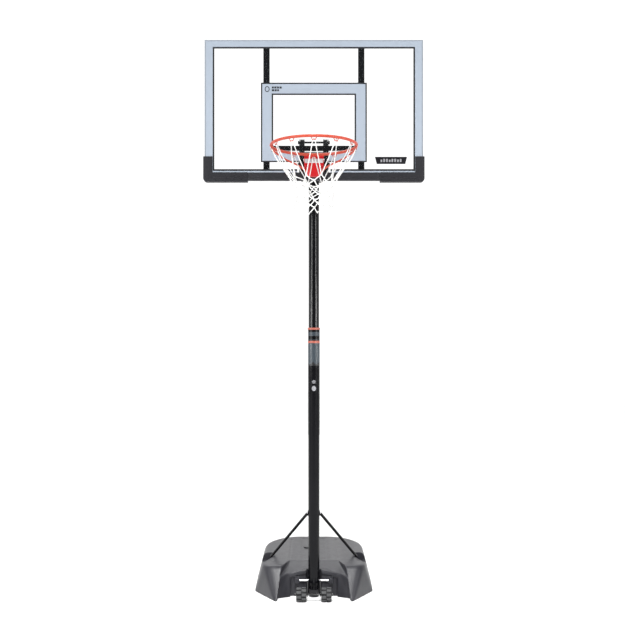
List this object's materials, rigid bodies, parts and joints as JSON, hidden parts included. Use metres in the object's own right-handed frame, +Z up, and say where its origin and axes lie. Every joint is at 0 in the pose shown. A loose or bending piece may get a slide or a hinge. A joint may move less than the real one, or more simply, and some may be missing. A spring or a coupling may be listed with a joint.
{
  "type": "portable basketball hoop",
  "caption": "Portable basketball hoop: wheeled water-filled base, telescoping pole with lock pin, framed clear board, sprung rim and net.",
  "frame": {"origin": "on the floor, under the middle of the object's outline", "axes": "+Z up, the board faces -Y towards the players, +X to the right seen from the front"},
  "size_m": [1.306, 2.185, 3.442],
  "materials": {
    "tank_plastic": "matte",
    "water": "gloss",
    "black_plastic": "matte",
    "seal_rubber": "matte",
    "zinc": "satin",
    "wheel_plastic": "matte",
    "black_steel": "satin",
    "orange_plastic": "satin",
    "label_film": "satin",
    "red_plastic": "satin",
    "white_plastic": "satin",
    "frame_paint": "satin",
    "clear_panel": "gloss",
    "pad_plastic": "matte",
    "badge_plastic": "satin",
    "rim_paint": "satin",
    "spring_steel": "satin",
    "net_cord": "matte"
  },
  "bodies": {
    "base": {"base_tank": "tank_plastic", "water_fill": "water", "pole_rod": "zinc", "foot_cap": "black_plastic", "wheel_brackets": "black_steel", "wheel_axle": "zinc", "axle_caps": "zinc", "pole_lower": "black_steel", "pole_middle": "black_steel", "pole_screw": "zinc", "slide_collar": "orange_plastic", "height_label": "label_film", "strut_left": "black_steel", "strut_right": "black_steel", "strut_bolt": "zinc", "strut_base_bolts": "zinc", "lock_housing": "black_steel", "pin_spring": "spring_steel"},
    "cap": {"fill_cap": "black_plastic", "cap_seal": "seal_rubber"},
    "wheel_l": {"wheel_left": "wheel_plastic"},
    "wheel_r": {"wheel_right": "wheel_plastic"},
    "pin": {"lock_pin": "zinc", "pin_knob": "red_plastic"},
    "upper": {"pole_upper": "black_steel", "guide_plug": "white_plastic", "pole_cap": "black_plastic", "head_bracket": "black_steel", "arm_upper_left": "black_steel", "arm_upper_right": "black_steel", "arm_lower_left": "black_steel", "arm_lower_right": "black_steel", "arm_bolts": "black_steel", "channel_left": "black_steel", "channel_right": "black_steel", "cross_bar": "black_steel", "board_bar_left": "black_steel", "board_bar_right": "black_steel", "frame_top": "frame_paint", "frame_bottom": "frame_paint", "frame_left": "frame_paint", "frame_right": "frame_paint", "board_panel": "clear_panel", "corner_pad_left": "pad_plastic", "corner_pad_right": "pad_plastic", "bottom_pad": "pad_plastic", "board_badge": "badge_plastic", "backing_plate": "black_steel", "rim_spacers": "zinc", "rim_bolts": "zinc", "rim_mount": "rim_paint", "hinge_pin": "zinc", "rim_springs": "spring_steel"},
    "rim": {"ring": "rim_paint", "rim_housing": "rim_paint", "rim_braces": "rim_paint", "net_hooks": "rim_paint", "net": "net_cord"}
  },
  "joints": [
    {"name": "pole_height", "type": "slide", "parent": "base", "child": "upper", "axis": [0, 0, 1], "range_m": [-0.6096, 0.3048]},
    {"name": "rim_breakaway", "type": "hinge", "parent": "upper", "child": "rim", "pos_m": [0, -0.532, 2.727], "axis": [1, 0, 0], "range_deg": [0, 25], "stiffness_Nm_per_rad": 110, "springref_deg": -22.92, "deforming": ["rim_springs"]},
    {"name": "lock_pull", "type": "slide", "parent": "base", "child": "pin", "axis": [0, 1, 0], "range_m": [0, 0.014], "stiffness_N_per_m": 700, "springref_m": -0.008, "deforming": ["pin_spring"]},
    {"name": "wheel_left_spin", "type": "hinge", "parent": "base", "child": "wheel_l", "pos_m": [-0.08, -0.04, 0.0465], "axis": [1, 0, 0], "continuous": true},
    {"name": "wheel_right_spin", "type": "hinge", "parent": "base", "child": "wheel_r", "pos_m": [0.08, -0.04, 0.0465], "axis": [1, 0, 0], "continuous": true},
    {"name": "cap_turn", "type": "hinge", "parent": "base", "child": "cap", "pos_m": [-0.042, 0.676, 0.194], "axis": [0, 0, 1], "range_deg": [0, 360]}
  ]
}
